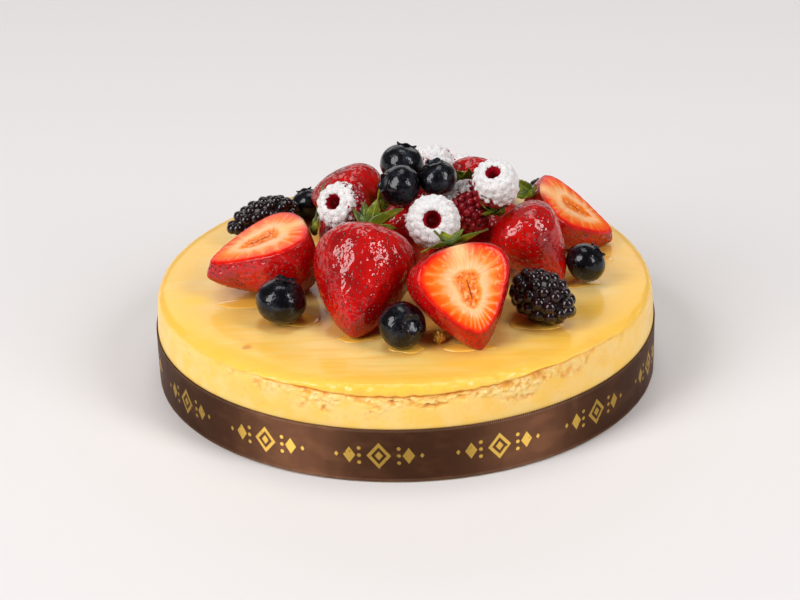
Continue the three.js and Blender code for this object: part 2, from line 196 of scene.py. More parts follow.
for vert in cake.verts:
    radius, height = math.hypot(vert.co.x, vert.co.y), vert.co.z
    angle = math.atan2(vert.co.y, vert.co.x)
    front = torn_share(angle)
    fade = 0.3 + 2.6 * (1 - front)
    vert[skin_layer] = smooth(crack_height + 0.3 - fade, crack_height + 0.3 + fade, height)
    if height > h - 1 and radius < r - 3:
        # This layer is 1 round each fruit's foot: partly glaze pooled there, partly painted contact
        # shade.
        near = max(smooth(1.45, 0.7, (vert.co - middle).xy.length / reach) for middle, reach in feet)
        vert[syrup_and_shade_layer] = near
        swelling = noise.noise(Vector((vert.co.x / 16, vert.co.y / 9, 0)))
        vert.co.z += SKIN_SWAY * swelling * (1 - near)
    if height < SIDE_START or radius < r - SHOULDER_REACH:
        continue
    profile_radius, profile_height = radius, height
    place = polar(radius, angle, height)
    if height > h - SHOULDER_FALL and radius > r - SHOULDER_REACH:
        up_side = height - h + SHOULDER_FALL
        path = up_side if radius > r - LIP_INSET else SHOULDER_FALL + r - SKIN_INSET - radius
        share = min(1, max(0, path / (SHOULDER_FALL + SHOULDER_REACH - SKIN_INSET)))
        turn = math.pi / 2 * share
        outward = max(0, math.cos(turn)) ** SHOULDER_SQUARENESS
        upward = math.sin(turn) ** SHOULDER_SQUARENESS
        rounded = r - SHOULDER_REACH + (SHOULDER_REACH - 0.7) * outward
        risen = h - SHOULDER_FALL + SHOULDER_FALL * upward
        radius += (rounded - radius) * (1 - front)
        height += (risen - height) * (1 - front)
    depth = h - 7 - 6 * smooth(-0.3, 0.5, ring_noise(angle, 7, height / 9))
    under_crack = smooth(crack_height + 0.4, crack_height - 0.2, height)
    band = smooth(depth - 1.5, depth + 2, height) * under_crack
    clump = ring_noise(angle, 13, height / 5)
    torn = band * smooth(-0.5, 0.15, clump + 0.5 * front) * (0.12 + 0.88 * front)
    near, second = noise.voronoi(place / CURD_SIZE, distance_metric="DISTANCE")[0][:2]
    curd = CURD_RELIEF * (0.46 - near) + CURD_GRAIN * noise.fractal(place / 1.3, 1.0, 2.0, 3)
    crevice = -CREVICE_DEPTH * smooth(0.18, 0.02, second - near)
    hollow = min(0, noise.noise(place / 4.2 + Vector((9, 4, 2))) + 0.1) * HOLLOW_DEPTH
    torn_relief = torn * (curd + hollow + crevice)
    pore = smooth(0.22, 0.08, noise.voronoi(place / PORE_SPACING)[0][0]) * (1 - torn)
    pore *= -PORE_DEPTH * smooth(crack_height + 0.2, crack_height - 0.5, height)
    gape = (0.25 + 0.75 * smooth(-0.25, 0.35, noise.noise(Vector((angle * 9, 5, 1))))) * front
    crack = -CRACK_DEPTH * gape * math.exp(-(((height - crack_height) / CRACK_HALF_WIDTH) ** 2))
    lip = LIP_RELIEF * noise.noise(place / 4.5) * (0.3 + front)
    lip *= smooth(crack_height, crack_height + 1, height)
    moved = torn_relief + pore + crack + lip + SIDE_SWAY * noise.noise(place / 22)
    reach = smooth(h - CRUMB_DROP, crack_height, profile_height)
    reach *= smooth(h, crack_height, profile_height)
    vert[torn_layer] = torn
    # This layer grows with how far a point is pushed in, and carries painted shade into the crack, pores
    # and hollows.
    vert[pit_shade_layer] = smooth(0.05, 1.0, -(torn_relief + pore + crack))
    side_share = smooth(SIDE_START, SIDE_START + 3, height)
    radius += moved * side_share * smooth(r - 7, r - 4, profile_radius)
    vert.co = polar(radius, angle, height + crack_rise(angle) * reach)


class Signal:
    """A number or colour inside a material, so that a pattern can be written as a sum."""

    def __init__(self, socket):
        self.socket = socket

    def math(self, operation, *others):
        inputs = dict(enumerate((self, *others)))
        return Signal(new_node(self.socket.id_data, "Math", inputs, operation=operation).outputs[0])

    def __add__(self, other):
        return self.math("ADD", other)

    def __sub__(self, other):
        return self.math("SUBTRACT", other)

    def __mul__(self, other):
        return self.math("MULTIPLY", other)

    def between(self, low, high):
        """0 at low and 1 at high, held there outside them."""
        inputs = {"Value": self, "From Min": low, "From Max": high}
        made = new_node(self.socket.id_data, "MapRange", inputs, interpolation_type="SMOOTHSTEP")
        return Signal(made.outputs["Result"])


def plug(socket, value):
    """Links a signal to a socket, or sets the socket to a plain value."""
    if isinstance(value, Signal):
        socket.id_data.links.new(value.socket, socket)
    else:
        socket.default_value = value


def new_node(tree, kind, inputs, **settings):
    """A shader node with its settings, and with signals or plain values in its inputs."""
    made = tree.nodes.new("ShaderNode" + kind)
    for name, value in settings.items():
        setattr(made, name, value)
    for socket, value in inputs.items():
        plug(made.inputs[socket], value)
    return made


class Finish:
    """A material on one Principled shader, with its coordinates in millimetres."""

    def __init__(self, name, values):
        self.material = bpy.data.materials.new(name)
        self.material.use_nodes = True
        self.tree = self.material.node_tree
        self.shader = self.tree.nodes["Principled BSDF"]
        self.set(values)
        inputs = {0: Signal(new_node(self.tree, "TexCoord", {}).outputs["Object"]), "Scale": 1 / MM}
        self.place = Signal(new_node(self.tree, "VectorMath", inputs, operation="SCALE").outputs[0])

    def set(self, values):
        for socket, value in values.items():
            plug(self.shader.inputs[socket], value)

    def noise(self, size, detail=2.0, stretch=(1, 1, 1), shift=0.0, roughness=0.5):
        """Cloudy noise from 0 to 1, with features of the given size in millimetres."""
        scale = [1 / (size * each) for each in stretch]
        inputs = {"Vector": self.place, "Scale": scale, "Location": (shift, shift, shift)}
        mapped = Signal(new_node(self.tree, "Mapping", inputs).outputs[0])
        inputs = {"Vector": mapped, "Scale": 1.0, "Detail": detail, "Roughness": roughness}
        return Signal(new_node(self.tree, "TexNoise", inputs).outputs["Fac"])

    def layer(self, name):
        return Signal(new_node(self.tree, "Attribute", {}, attribute_name=name).outputs["Fac"])

    def axes(self, vector):
        made = new_node(self.tree, "SeparateXYZ", {0: vector})
        return [Signal(socket) for socket in made.outputs]

    def uv(self, name):
        return self.axes(Signal(new_node(self.tree, "UVMap", {}, uv_map=name).outputs[0]))[:2]

    def mix(self, share, *colours):
        first, second = ((*each, 1) if isinstance(each, tuple) else each for each in colours)
        inputs = {0: share, 6: first, 7: second}
        return Signal(new_node(self.tree, "Mix", inputs, data_type="RGBA").outputs[2])

    def ramp(self, share, stops):
        made = new_node(self.tree, "ValToRGB", {"Fac": share})
        elements = made.color_ramp.elements
        while len(elements) < len(stops):
            elements.new(0.5)
        for element, (position, colour) in zip(elements, stops):
            element.position = position
            element.color = (*colour, 1)
        return Signal(made.outputs["Color"])

    def bump(self, height, strength=1.0):
        """A normal bent by a height in millimetres."""
        inputs = {"Strength": strength, "Distance": MM, "Height": height}
        return Signal(new_node(self.tree, "Bump", inputs).outputs["Normal"])


SKIN_CREAM = (0.94, 0.66, 0.25)
SKIN_YELLOW = (0.94, 0.54, 0.075)
SKIN_AMBER = (0.78, 0.36, 0.04)
SYRUP_AND_SHADE_AMBER = (0.66, 0.26, 0.02)
SIDE_CREAM = (0.95, 0.615, 0.20)
SIDE_YELLOW = (0.95, 0.56, 0.10)
CURD_PALE = (0.95, 0.68, 0.26)
PIT_SHADE_ORANGE = (0.84, 0.37, 0.03)
CURD_BROWN = (0.62, 0.25, 0.03)
SKIN_SPOTS = [  # middle, radius and colour of the marks left by the oven
    ((-94, -25), 9, (0.93, 0.55, 0.015)),
    ((-68.3, -72.8), 3.2, (0.66, 0.22, 0.02)),
    ((62, 70), 6, (0.72, 0.32, 0.03)),
    ((20, 98), 4, (0.68, 0.26, 0.025)),
]

baked = Finish("baked_cheesecake", {
    "IOR": 1.45, "Specular IOR Level": 0.25, "Coat Weight": 0.35, "Coat Roughness": 0.12,
    "Subsurface Weight": 0.35, "Subsurface Radius": (1.0, 0.5, 0.15), "Subsurface Scale": 0.007,
})
x, y, _ = baked.axes(baked.place)
from_axis = (x * x + y * y).math("SQRT")
skin, torn, pit_shade = baked.layer("skin"), baked.layer("torn"), baked.layer("pit_shade")
streaks = baked.noise(4, 3, stretch=(9, 0.8, 1), roughness=0.6)
brushed = baked.noise(22, 2, stretch=(2.2, 0.8, 1), shift=4.0)
rim_share = from_axis.between(r - 34, r - 5)
yellowing = (streaks * 0.55 + brushed * 0.75 + rim_share * 0.42).between(0.42, 1.1)
top_colour = baked.mix(yellowing, SKIN_CREAM, SKIN_YELLOW)
toasted = (baked.noise(30, 3, shift=11.0) * 0.8 + streaks * 0.35).between(0.60, 0.88) * 0.35
top_colour = baked.mix(toasted, top_colour, SKIN_AMBER)
for (spot_x, spot_y), spot_radius, colour in SKIN_SPOTS:
    away = ((x - spot_x) * (x - spot_x) + (y - spot_y) * (y - spot_y)).math("SQRT")
    ragged = away + baked.noise(3, 2, shift=float(spot_radius)) * 4 - 2
    top_colour = baked.mix(ragged.between(spot_radius, spot_radius * 0.3) * 0.75, top_colour, colour)
# Amber round the feet of the fruit: partly glaze pooled there, partly painted contact shade.
syrup_and_shade_share = (baked.layer("syrup_and_shade") + (baked.noise(12, 2, shift=8.0) - 0.5) * 0.8).between(0.35, 1.0)
top_colour = baked.mix(syrup_and_shade_share * 0.55, top_colour, SYRUP_AND_SHADE_AMBER)
side_tint = baked.noise(9, 3, shift=2.0)
side_colour = baked.mix(side_tint.between(0.3, 0.75), SIDE_CREAM, SIDE_YELLOW)
side_colour = baked.mix(torn * baked.noise(2.2, 2).between(0.35, 0.65), side_colour, CURD_PALE)
# Painted shade: the crack, pores and hollows are a darker orange the deeper they are.
side_colour = baked.mix(pit_shade * 0.7, side_colour, PIT_SHADE_ORANGE)
browned = baked.noise(1.4, 2, shift=6.0).between(0.66, 0.8) * torn
side_colour = baked.mix(browned * 0.7, side_colour, CURD_BROWN)
fine_crumb = baked.noise(0.7, 3)
soft_relief = baked.noise(5, 2, stretch=(3, 0.7, 1), shift=1.0)
crusty = baked.noise(1.1, 4, shift=4.0, roughness=0.65) * torn * 0.7
relief = fine_crumb * (skin * -0.10 + 0.14) + soft_relief * 0.10 + streaks * 0.05 * skin + crusty
baked.set({
    "Base Color": baked.mix(skin, side_colour, top_colour),
    "Roughness": skin * -0.25 + 0.55,
    "Normal": baked.bump(relief, 0.8),
})
piece_from(cake, "baked_cake", [baked.material], "cheesecake")

# The ribbon. One inch of double faced satin, wound once round the side, with a woven picot edge
# above and below. The print is gold foil: a lozenge ring with dots, between small lozenges. It is
# a thin ring spun round the axis, whose edge points stand up in turn to make the picots.
ribbon_low, ribbon_high = box_of("ribbon")
RIBBON_LAP_ANGLE = 62
RIBBON_LAP_HALF = 6
RIBBON_THICKNESS = 0.5
RIBBON_STEPS = 1600
PICOT_HEIGHT = 0.35
MOTIF_COUNT = 14
ribbon_radius = ribbon_high.x
ribbon_inner = ribbon_radius - RIBBON_THICKNESS
edge_low, edge_high = ribbon_low.z + PICOT_HEIGHT, ribbon_high.z - PICOT_HEIGHT
outer_heights = [edge_low, 1.6, 2.4, 6, 10, 13, 16, 20, 23.8, 24.6, edge_high]
ribbon_profile = [(ribbon_radius, height) for height in outer_heights]
ribbon_profile += [(ribbon_inner, height) for height in reversed(outer_heights)]
ribbon = spun(ribbon_profile + ribbon_profile[:1], RIBBON_STEPS, slices=40)
for vert in ribbon.verts:
    radius, height = math.hypot(vert.co.x, vert.co.y), vert.co.z
    angle = math.atan2(vert.co.y, vert.co.x)
    step = round(angle * RIBBON_STEPS / (2 * math.pi))
    if step % 2 and (height < edge_low + 0.01 or height > edge_high - 0.01):
        height += PICOT_HEIGHT if height > edge_high - 0.01 else -PICOT_HEIGHT
    wave = ring_noise(angle, 5, height / 60)
    crease = ring_noise(angle, 19, height / 16)
    away = abs((math.degrees(angle) - RIBBON_LAP_ANGLE + 180) % 360 - 180)
    outside = radius > ribbon_inner + 0.1
    lapped = RIBBON_THICKNESS * smooth(RIBBON_LAP_HALF + 0.3, RIBBON_LAP_HALF, away) if outside else 0
    radius += -0.12 + 0.1 * wave + 0.1 * crease + lapped
    vert.co = polar(radius, angle, height)

SATIN_BROWN = (0.135, 0.056, 0.028)
SATIN_LIGHT = (0.22, 0.092, 0.044)
GOLD_PRINT = (0.72, 0.45, 0.085)
STITCH_TAN = (0.42, 0.24, 0.15)
WEFT_PITCH = 0.42
STITCH_PITCH = 0.9
satin = Finish("satin_ribbon", {"Anisotropic": 1.0})
upright = Signal(new_node(satin.tree, "CombineXYZ", {"Z": 1}).outputs[0])
x, y, z = satin.axes(satin.place)
turn_share = y.math("ARCTAN2", x) * (MOTIF_COUNT / (2 * math.pi))
motif_pitch = 2 * math.pi * ribbon_radius / MOTIF_COUNT
across = (turn_share.math("ADD", 20.25).math("FRACT") - 0.5) * motif_pitch
up = z - (ribbon_low.z + ribbon_high.z) / 2


def lozenge(centre, half_width, half_height):
    """How far out of a lozenge a place on the ribbon is: 1 on its outline."""
    side = (across - centre).math("ABSOLUTE") * (1 / half_width)
    return side + up.math("ABSOLUTE") * (1 / half_height)


big = lozenge(0, 5.2, 6.2)
print_share = big.between(1.03, 0.97) * big.between(0.62, 0.68)
print_share = print_share.math("MAXIMUM", lozenge(0, 1.7, 2.1).between(1.1, 0.95))
for side in (-1, 1):
    print_share = print_share.math("MAXIMUM", lozenge(side * 12.6, 2.6, 3.8).between(1.06, 0.96))
    for lift in (-3.4, 0, 3.4):
        dot_x, dot_y = across - side * 8.4, up - lift
        dot = (dot_x * dot_x + dot_y * dot_y).math("SQRT").between(0.95, 0.75)
        print_share = print_share.math("MAXIMUM", dot)
    print_share = print_share.math("MAXIMUM", lozenge(side * 18.2, 0.9, 1.2).between(1.15, 0.9))
foil_gaps = satin.noise(1.2, 3).between(0.28, 0.36)
print_share = print_share * foil_gaps
weft = (z * (2 * math.pi / WEFT_PITCH)).math("SINE")
warp = (turn_share * (2 * math.pi * motif_pitch / WEFT_PITCH)).math("SINE")
edge_near = up.math("ABSOLUTE").between(10.9, 11.3)
stitch = (turn_share * (2 * math.pi * motif_pitch / STITCH_PITCH)).math("SINE")
stitch = stitch.between(0.2, 0.8) * edge_near
watered = satin.noise(16, 3, stretch=(1, 1, 0.45), shift=3.0).between(0.45, 0.7)
satin_colour = satin.mix(watered * 0.55, SATIN_BROWN, SATIN_LIGHT)
satin_colour = satin.mix(stitch * 0.6, satin_colour, STITCH_TAN)
satin.set({
    "Base Color": satin.mix(print_share, satin_colour, GOLD_PRINT),
    "Metallic": print_share * -0.05 + 0.85,
    "Roughness": print_share * -0.05 + 0.55,
    "Tangent": upright,
    "Normal": satin.bump(weft * 0.012 + warp * 0.012 + stitch * 0.08 + print_share * 0.03, 0.7),
})
band = piece_from(ribbon, "ribbon_band", [satin.material], "ribbon")

# The whole strawberries. Red skin under clear glaze, pitted with about two hundred dimples, and a
# pip in each. Each is a profile spun round its own axis, tip down, then dimpled, turned to how it
# lies in the heap and moved to where its solid is.


def named(keys, rows):
    """Gives the sizes in each row their names. Headings and rises are in degrees."""
    return {node: dict(zip(keys.split(), row)) for node, row in rows.items()}


STRAWBERRIES = named("length radius taper heading rise turn", {
    "strawberry_core_left": (36, 16, 0.62, 200, 10, 0),
    "strawberry_core_front": (38, 14, 0.62, 80, 70, 0),
    "strawberry_core_right": (38, 15, 0.62, 95, 14, 0),
    "strawberry_core_back": (38, 13, 0.62, 100, 75, 0),
    "strawberry_front": (51, 22.3, 0.6, 80, 38, 20),
    "strawberry_right": (39, 16.3, 0.6, 158, 50, 0),
    "strawberry_back_left": (37, 17.5, 0.62, -32, 5, 0),
    "strawberry_back_right": (37, 16.5, 0.62, -95, 34, 0),
})
SHOULDER = 5
PIP_SPACING = 3.1
DIMPLE_DEPTH = 0.32
DIMPLE_WIDTH = 0.95
PIP_HALF_SIZES = (0.34, 0.62, 0.22)
SKIN_STEPS = 132
SKIN_ROWS = 64
GOLDEN_TURN = math.pi * (3 - math.sqrt(5))
nugget = bmesh.new()
bmesh.ops.create_icosphere(nugget, subdivisions=1, radius=1)
lying = {}


def strawberry_radius(share, radius, taper):
    """Radius at a share of the length from the tip. A low taper gives a blunt tip."""
    widest = (taper / (taper + SHOULDER / 2)) ** (1 / SHOULDER)
    form = lambda where: where ** taper * math.sqrt(max(0, 1 - where ** SHOULDER))
    return radius * form(share) / form(widest)


def lobes(angle):
    """How much a berry swells out of round on this side."""
    return 1 + 0.035 * math.sin(3 * angle) + 0.025 * math.sin(2 * angle)


def pip_places(length, radius, taper, seed):
    """Places for the pips in a spiral, each with its direction out of the skin."""
    rng = random.Random(seed)
    count = round(2.6 * math.pi * radius * length / PIP_SPACING ** 2 / 2)
    places = []
    for number in range(count):
        share = 0.03 + 0.9 * ((number + 0.5) / count) ** 0.85
        angle = number * GOLDEN_TURN + rng.uniform(-0.12, 0.12)
        share += rng.uniform(-0.008, 0.008)
        out = strawberry_radius(share, radius, taper)
        ahead = strawberry_radius(min(0.999, share + 0.01), radius, taper)
        slope = math.atan2(out - ahead, 0.01 * length)
        place = polar(out * lobes(angle), angle, (share - 0.5) * length)
        places.append((place, polar(math.cos(slope), angle, math.sin(slope))))
    return places


def strawberry_skin(length, radius, taper, places):
    """The dimpled skin of a strawberry, before its pips are set in."""
    shares = [0.5 - 0.5 * math.cos(math.pi * row / SKIN_ROWS) for row in range(SKIN_ROWS + 1)]
    profile = [(strawberry_radius(s, radius, taper), (s - 0.5) * length) for s in shares]
    bm = spun(profile, SKIN_STEPS)
    near = kdtree.KDTree(len(places))
    for number, (place, _) in enumerate(places):
        near.insert(place, number)
    near.balance()
    for vert in bm.verts:
        swell = lobes(math.atan2(vert.co.y, vert.co.x))
        vert.co.x *= swell
        vert.co.y *= swell
    bm.normal_update()
    dimple_layer = bm.verts.layers.float.new("dimple")
    dips = []
    for vert in bm.verts:
        _, _, away = near.find(vert.co)
        vert[dimple_layer] = math.exp(-((away / DIMPLE_WIDTH) ** 2))
        dip = DIMPLE_DEPTH * vert[dimple_layer]
        lump = 0.35 * noise.noise(vert.co / 7 + Vector((length, radius, 0)))
        dips.append((vert, vert.normal * (0.12 + lump - dip)))
    for vert, move in dips:
        vert.co += move
    return bm


def stamp(bm, shape, matrix, material_index=0):
    """Adds a copy of a small finished shape to a mesh, and returns its new vertices."""
    shape.verts.index_update()
    made = [bm.verts.new(matrix @ vert.co) for vert in shape.verts]
    for face in shape.faces:
        bm.faces.new([made[vert.index] for vert in face.verts]).material_index = material_index
    return made


def set_pips(bm, places, material_index, keep=lambda place: True):
    """A pip lies flat in every dimple, pointing to the tip."""
    for place, outward in places:
        if not keep(place):
            continue
        down = Vector((0, 0, -1))
        down = (down - outward * down.dot(outward)).normalized()
        seat = Matrix((outward.cross(down), down, outward)).transposed().to_4x4()
        seat.translation = place - outward * (DIMPLE_DEPTH * 0.55)
        stamp(bm, nugget, seat @ Matrix.Diagonal((*PIP_HALF_SIZES, 1)), material_index)


def turned(axis, degrees):
    return Matrix.Rotation(math.radians(degrees), 4, axis)


def middle_of(bm):
    """The middle of a mesh's box."""
    low, high = ([pick(vert.co[a] for vert in bm.verts) for a in range(3)] for pick in (min, max))
    return (Vector(low) + Vector(high)) / 2


def lay(bm, node, heading, rise, turn=0):
    """Turns a fruit made along +Z to how it lies, and moves it to where its solid is."""
    aim = turned("Z", heading) @ turned("Y", 90 - rise) @ turned("Z", turn)
    bmesh.ops.transform(bm, matrix=aim, verts=bm.verts)
    low, high = box_of(node)
    shift = (low + high) / 2 - middle_of(bm)
    bmesh.ops.translate(bm, vec=shift, verts=bm.verts)
    lying[node] = Matrix.Translation(shift) @ aim
    return lying[node]


glazed = Finish("glazed_strawberry", {
    "Roughness": 0.5, "Specular IOR Level": 0.05, "Coat Weight": 1.0, "Coat Roughness": 0.03,
    "Coat IOR": 1.48,
})
ripe = glazed.noise(13, 3)
red = glazed.ramp(ripe, [
    (0.3, (0.24, 0.0005, 0.001)), (0.5, (0.44, 0.001, 0.001)), (0.75, (0.62, 0.003, 0.001)),
])
mottled = glazed.noise(1.6, 2, shift=3.0).between(0.55, 0.75)
red = glazed.mix(mottled * 0.5, red, (0.20, 0.001, 0.002))
# Painted shade: the skin is darker red down in each dimple.
red = glazed.mix(glazed.layer("dimple").between(0.35, 0.9) * 0.75, red, (0.10, 0.0005, 0.001))
wet = glazed.noise(2.4, 1, shift=7.0)
drips = glazed.noise(7, 1, stretch=(1, 1, 1.7))
glazed.set({
    "Base Color": red,
    "Normal": glazed.bump(glazed.noise(0.8, 2) * 0.1, 0.5),
    "Coat Normal": glazed.bump(wet * 0.65 + drips * 1.6, 1.0),
})
pip = Finish("strawberry_pip", {"Roughness": 0.3, "Coat Weight": 1.0, "Coat Roughness": 0.08})
pip_tint = pip.noise(4, 2).between(0.4, 0.65)
pip.set({"Base Color": pip.mix(pip_tint, (0.09, 0.003, 0.002), (0.24, 0.03, 0.006))})

for number, (node, shape) in enumerate(STRAWBERRIES.items()):
    size = {key: shape[key] for key in ("length", "radius", "taper")}
    places = pip_places(**size, seed=number)
    bm = strawberry_skin(**size, places=places)
    set_pips(bm, places, 1)
    lay(bm, node, shape["heading"], shape["rise"], shape["turn"])
    looks = [glazed.material, pip.material]
    piece_from(bm, node.replace("strawberry", "whole_berry"), looks, node)

# The cut strawberries. The same skin, halved down its length with a knife, so that the face shows
# a red rim, orange flesh with pale rays, and a wet core. The rim of the cut is drawn in towards
# the core ring by ring, so the face has the flesh's own relief.
HALVES = named("length radius taper cut heading rise turn", {
    "half_strawberry_front": (45.5, 22.5, 0.7, 8, 118, 58, -102),
    "half_strawberry_left": (50, 23, 0.7, 5, 15, 17, -92),
    "half_strawberry_right": (46, 19, 0.7, 4, 190, 36, -105),
    "half_strawberry_back": (44, 18, 0.62, 0, 262, 24, -90),
})
CUT_RINGS = 30
RAY_COUNT = 30
FLESH_BULGE = 1.3
CORE_DIP = 0.5


def cut_face(bm, cut, length):
    """Closes the cut with rings of flesh, and gives them a map of [round the rim, to the core]."""
    cut_map = bm.loops.layers.uv.new("cut_map")
    stem_layer = bm.verts.layers.float.new("stem")
    edges = [edge for edge in bm.edges if len(edge.link_faces) == 1]
    start = edges[0].verts[0]
    order, edge = [start], edges[0]
    while len(order) < len(edges):
        order.append(edge.other_vert(order[-1]))
        open_here = [e for e in order[-1].link_edges if len(e.link_faces) == 1]
        edge = next(e for e in open_here if e is not edge)
    rim = [vert.co.copy() for vert in order]
    core_low, core_high = -0.03 * length, 0.15 * length
    around = {vert: place / len(order) for place, vert in enumerate(order)}
    depth = {vert: 0.0 for vert in order}
    ring = order
    for number in range(1, CUT_RINGS + 1):
        share = (number / CUT_RINGS) ** 1.5
        made = []
        for place, corner in enumerate(rim):
            core = Vector((0, -cut, min(core_high, max(core_low, corner.z))))
            spot = corner.lerp(core, min(share, 0.985))
            rays = math.sin(around[order[place]] * 2 * math.pi * RAY_COUNT)
            bulge = FLESH_BULGE * math.sqrt(1 - (1 - min(1, share / 0.13)) ** 2)
            bulge += 0.4 * math.sin(math.pi * share)
            bulge -= CORE_DIP * smooth(0.7, 0.9, share) * smooth(1.02, 0.93, share)
            spot.y -= bulge + 0.10 * rays * math.sin(math.pi * share)
            spot.y -= 0.35 * noise.noise(spot / 2.2) * smooth(0.1, 0.5, share)
            vert = bm.verts.new(spot)
            vert[stem_layer] = smooth(0.16 * length, 0.42 * length, spot.z)
            vert[stem_layer] *= math.exp(-((spot.x / 4.5) ** 2))
            around[vert], depth[vert] = around[order[place]], share
            made.append(vert)
        for a, b, c, d in zip(ring, ring[1:] + ring[:1], made[1:] + made[:1], made):
            add_flesh(bm, (a, b, c, d), cut_map, around, depth)
        ring = made
    bm.faces.new(ring).material_index = 2
    bmesh.ops.recalc_face_normals(bm, faces=bm.faces)


def add_flesh(bm, corners, cut_map, around, depth):
    """One face of the cut, mapped by how far round the rim and how near the core it is."""
    face = bm.faces.new(corners)
    face.material_index = 2
    first = around[corners[0]]
    for loop in face.loops:
        turn = around[loop.vert]
        turn += 1 if first - turn > 0.5 else 0
        loop[cut_map].uv = (turn, depth[loop.vert])


flesh = Finish("cut_strawberry_flesh", {
    "Roughness": 0.45, "Specular IOR Level": 0.08, "Coat Weight": 0.7, "Coat Roughness": 0.05,
    "Coat IOR": 1.33,
    "Subsurface Weight": 0.15, "Subsurface Radius": (1.0, 0.3, 0.12), "Subsurface Scale": 0.002,
})
turn, inward = flesh.uv("cut_map")
sway = flesh.noise(5, 2) * 0.7
rays = ((turn * RAY_COUNT + sway) * (2 * math.pi)).math("SINE") * 0.5 + 0.5
middle = inward.between(0.10, 0.2) * inward.between(0.62, 0.42)
shifted = inward + rays * middle * 0.07 + (flesh.noise(3.5, 3, shift=5.0) - 0.5) * 0.16
flesh_colour = flesh.ramp(shifted, [
    (0.0, (0.42, 0.001, 0.001)), (0.06, (0.68, 0.004, 0.001)), (0.14, (0.90, 0.050, 0.001)),
    (0.30, (0.94, 0.12, 0.001)), (0.45, (0.94, 0.24, 0.03)), (0.57, (0.94, 0.46, 0.21)),
    (0.67, (0.94, 0.51, 0.25)), (0.75, (0.91, 0.30, 0.05)), (0.83, (0.85, 0.17, 0.006)),
    (1.0, (0.84, 0.22, 0.008)),
])
flesh_colour = flesh.mix(rays.between(0.84, 0.98) * middle * 0.45, flesh_colour, (0.96, 0.34, 0.10))
flesh_colour = flesh.mix(flesh.layer("stem") * 0.85, flesh_colour, (0.95, 0.56, 0.24))
core = shifted.between(0.72, 0.84)
flecks = flesh.noise(1.7, 3, shift=12.0).between(0.52, 0.62) * core
flesh_colour = flesh.mix(flecks * 0.6, flesh_colour, (0.95, 0.55, 0.22))
seeds = flesh.noise(1.3, 3, shift=8.0).between(0.50, 0.60) * core
juicy = flesh.noise(1.6, 2, shift=2.0) * 0.3 + flesh.noise(1.1, 2) * shifted.between(0.7, 0.9)
flesh.set({
    "Base Color": flesh.mix(seeds * 0.7, flesh_colour, (0.60, 0.045, 0.003)),
    "Normal": flesh.bump(flesh.noise(0.9, 3) * 0.25 + rays * middle * 0.12, 0.6),
    "Coat Normal": flesh.bump(juicy, 0.7),
})

for number, (node, shape) in enumerate(HALVES.items()):
    size = {key: shape[key] for key in ("length", "radius", "taper")}
    cut = shape["cut"]
    places = pip_places(**size, seed=40 + number)
    bm = strawberry_skin(**size, places=places)
    bmesh.ops.bisect_plane(
        bm, geom=bm.verts[:] + bm.edges[:] + bm.faces[:], dist=1e-4,
        plane_co=(0, -cut, 0), plane_no=(0, -1, 0), clear_outer=True,
    )
    bmesh.ops.remove_doubles(bm, verts=bm.verts, dist=1e-3)
    cut_face(bm, cut, shape["length"])
    set_pips(bm, places, 1, keep=lambda place: place.y > -cut + 0.7)
    lay(bm, node, shape["heading"], shape["rise"], shape["turn"])
    looks = [glazed.material, pip.material, flesh.material]
    piece_from(bm, node.replace("strawberry", "berry"), looks, node)

# The raspberries. Soft red drupelets set in rings round a hollow, most of them dipped in powdered
# sugar, which lies as a crust on one side. Each is a spun thimble with a small ball for every
# drupelet. Where the sugar lies, the thimble's wall swells up between the balls and turns white.
RASPBERRIES = named("length radius heading rise dip bare", {
    "raspberry_low": (20, 9.6, 80, 20, (0.2, 0.4, 0.9), 0.5),
    "raspberry_middle": (22, 10.4, 130, 40, (-0.6, 0.1, 0.8), 0.62),
    "raspberry_left": (21, 10.7, 235, 35, (-0.85, -0.45, 0.3), 0.02),
    "raspberry_centre": (20, 11.9, 265, 30, (0, -0.5, 0.87), -0.5),
    "raspberry_right": (20, 10.4, 250, 60, (0.45, -0.4, 0.8), -0.25),
    "raspberry_back": (18, 10, 100, 50, (0.35, -0.3, 0.9), 0.42),
})
RASPBERRY_HEIGHTS = (-0.5, -0.44, -0.28, -0.1, 0.09, 0.27, 0.42, 0.5)
RASPBERRY_SHARES = (0, 0.42, 0.76, 0.95, 1, 0.97, 0.84, 0.62)
WALL_INSET = 1.2
DRUPELET = 3.8
DRUPELET_SUNK = 0.42
HOLLOW_SHARE = 0.26
CRUST_RISE = 0.95
GRAIN_COUNT = 160
drupelet = bmesh.new()
bmesh.ops.create_uvsphere(drupelet, u_segments=8, v_segments=6, radius=1)


def outline_points(heights, shares, length, radius, spacing):
    """Evenly spaced points along a berry's side, from its tip."""
    corners = [(radius * share, height * length) for height, share in zip(heights, shares)]
    total = sum(math.dist(a, b) for a, b in zip(corners, corners[1:]))
    count = max(3, round(total / spacing))
    points, walked, place = [], 0.0, 0
    for number in range(count + 1):
        goal = total * number / count
        while place < len(corners) - 2 and walked + math.dist(corners[place], corners[place + 1]) < goal:
            walked += math.dist(corners[place], corners[place + 1])
            place += 1
        share = (goal - walked) / math.dist(corners[place], corners[place + 1])
        points.append(part_way(corners[place], corners[place + 1], share))
    return points


def drupelets(bm, points, size, rng):
    """Rings of small balls along the given outline, each ring turned against the one below."""
    for row, (radius, height) in enumerate(points):
        inner = max(0, radius - size * DRUPELET_SUNK)
        count = max(1, round(2 * math.pi * inner / (size * 0.94)))
        for number in range(count):
            angle = 2 * math.pi * (number + 0.5 * (row % 2)) / count + rng.uniform(-0.07, 0.07)
            swell = rng.uniform(0.9, 1.1)
            ball = Matrix.Translation(polar(inner, angle, height)) @ Matrix.Rotation(angle, 4, "Z")
            ball = ball @ Matrix.Diagonal((0.54 * swell, 0.56, 0.5 * swell, 1))
            stamp(bm, drupelet, ball @ Matrix.Scale(size, 4))


